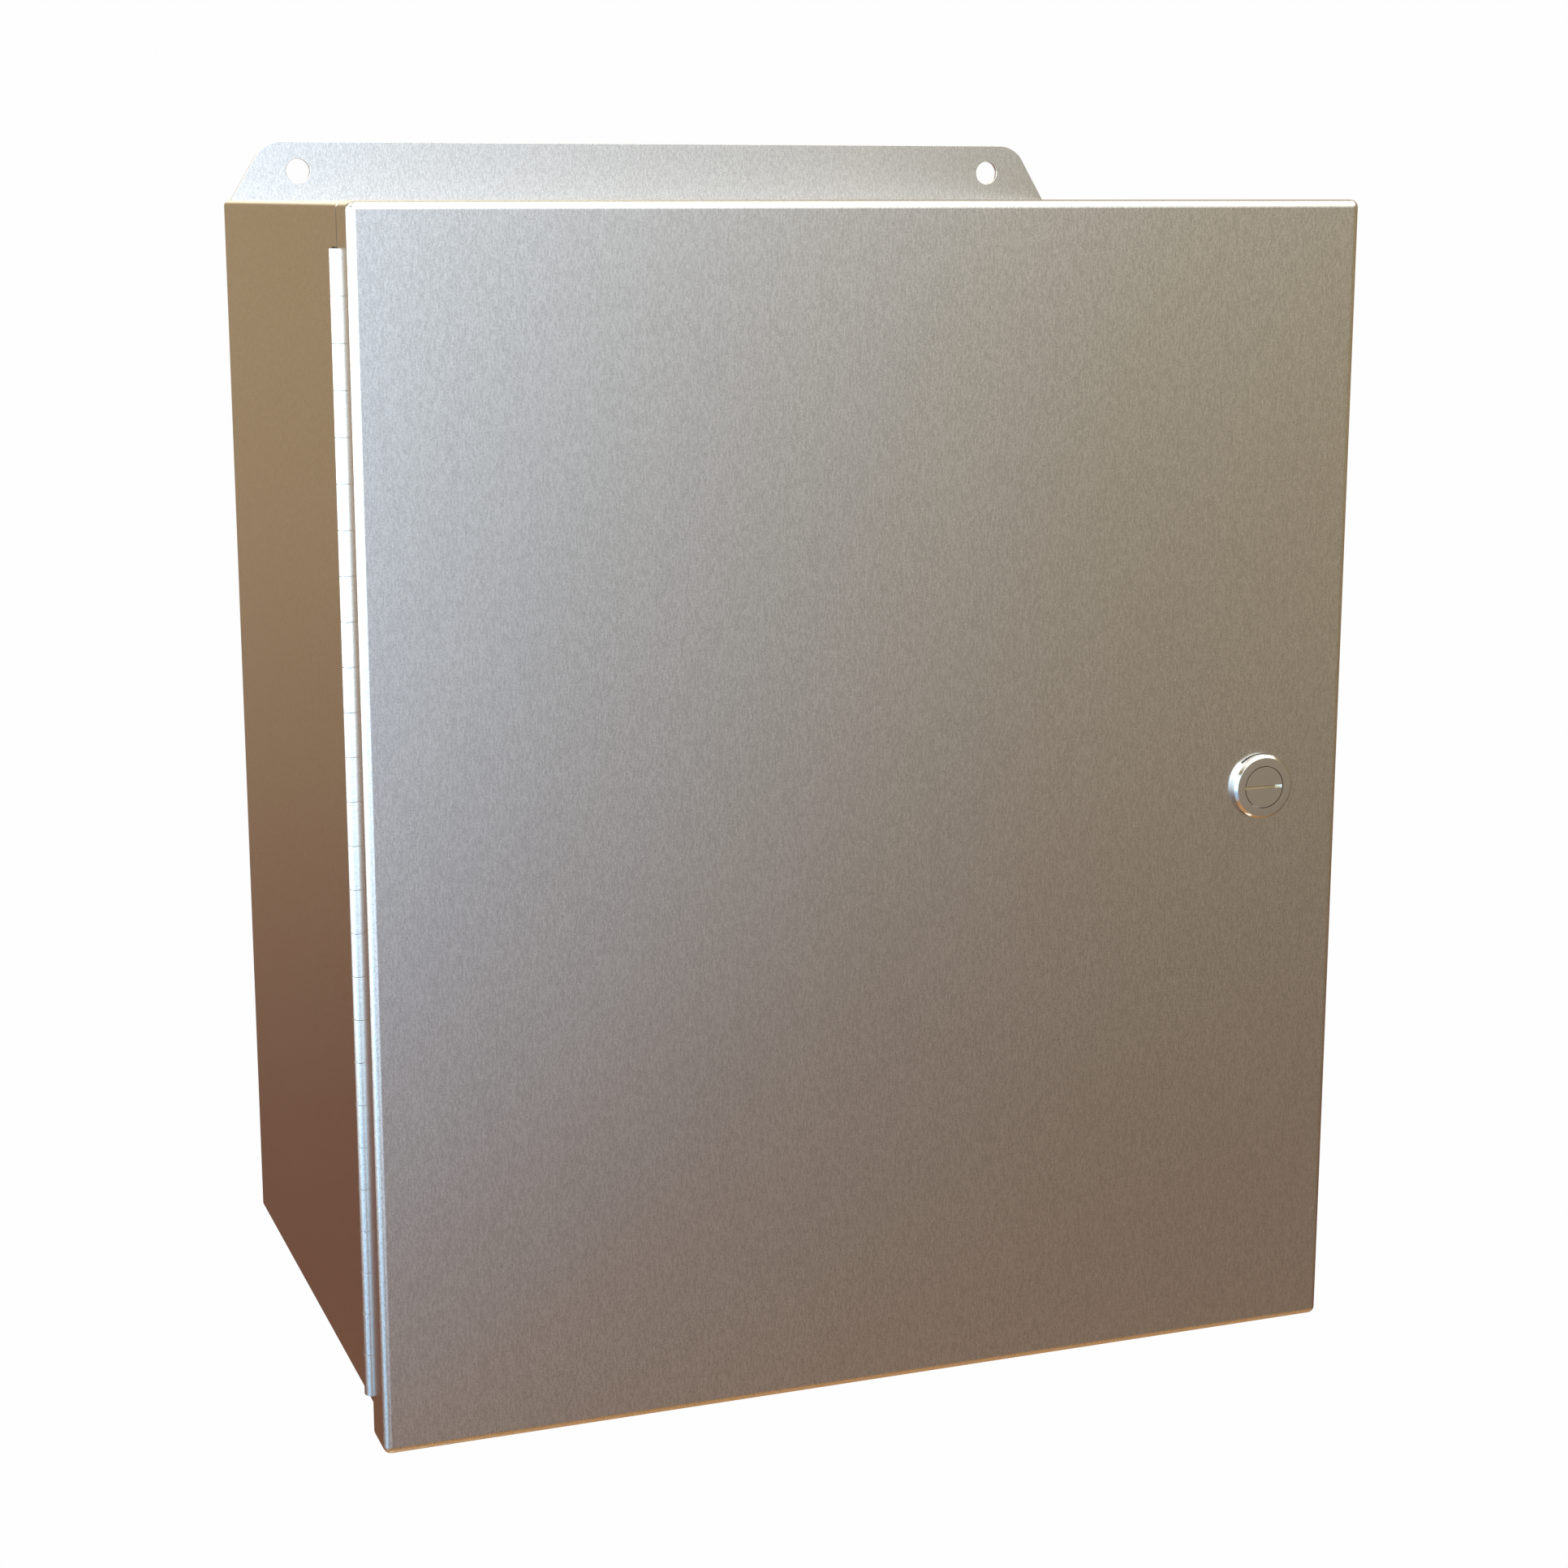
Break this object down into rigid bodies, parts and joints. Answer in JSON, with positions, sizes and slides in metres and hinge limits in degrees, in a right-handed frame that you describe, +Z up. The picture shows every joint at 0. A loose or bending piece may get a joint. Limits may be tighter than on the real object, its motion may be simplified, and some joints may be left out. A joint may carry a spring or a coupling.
{
  "type": "wall enclosure, hinged door",
  "caption": "Stainless steel wall enclosure with a continuous-hinge door, slotted quarter-turn latch and mounting flanges above and below.",
  "frame": {"origin": "centre of the body's back face, in the plane of the wall", "axes": "+X to the right seen from the front, +Y towards the wall, +Z up; the door faces -Y"},
  "size_m": [0.3098, 0.1978, 0.3824],
  "materials": {
    "stainless_sheet": "satin stainless with a fine upright grain",
    "hinge_stainless": "smooth rolled stainless",
    "latch_chrome": "bright chrome plate",
    "zinc_hardware": "bright zinc plate",
    "panel_paint": "white powder coat with a fine texture",
    "seal_rubber": "matt black sponge and solid rubber"
  },
  "bodies": {
    "enclosure": {"back_and_sides": "stainless_sheet", "top_wall": "stainless_sheet", "bottom_wall": "stainless_sheet", "hinge_body_leaf": "hinge_stainless", "hinge_pin": "hinge_stainless", "inner_panel": "panel_paint", "panel_stud_top_left": "zinc_hardware", "panel_washer_top_left": "zinc_hardware", "panel_nut_top_left": "zinc_hardware", "panel_stud_top_right": "zinc_hardware", "panel_washer_top_right": "zinc_hardware", "panel_nut_top_right": "zinc_hardware", "panel_stud_bottom_left": "zinc_hardware", "panel_washer_bottom_left": "zinc_hardware", "panel_nut_bottom_left": "zinc_hardware", "panel_stud_bottom_right": "zinc_hardware", "panel_washer_bottom_right": "zinc_hardware", "panel_nut_bottom_right": "zinc_hardware", "body_ground_stud": "zinc_hardware", "body_ground_washer": "zinc_hardware", "body_ground_nut": "zinc_hardware"},
    "door": {"door_shell": "stainless_sheet", "hinge_door_leaf": "hinge_stainless", "door_gasket": "seal_rubber", "door_ground_stud": "zinc_hardware", "door_ground_washer": "zinc_hardware", "door_ground_nut": "zinc_hardware", "latch_housing": "latch_chrome", "latch_seal": "seal_rubber", "latch_washer": "zinc_hardware", "latch_nut": "zinc_hardware"},
    "latch": {"latch_core": "latch_chrome", "latch_o_ring": "seal_rubber", "latch_cam": "zinc_hardware", "latch_cam_washer": "zinc_hardware", "latch_cam_nut": "zinc_hardware"}
  },
  "joints": [
    {"name": "door_hinge", "type": "hinge", "parent": "enclosure", "child": "door", "pos_m": [-0.14763, -0.178, -0.005], "axis": [0, 0, -1], "range_deg": [0, 140]},
    {"name": "latch_turn", "type": "hinge", "parent": "door", "child": "latch", "pos_m": [0.13175, -0.195, -0.005], "axis": [0, 1, 0], "range_deg": [0, 90]}
  ]
}
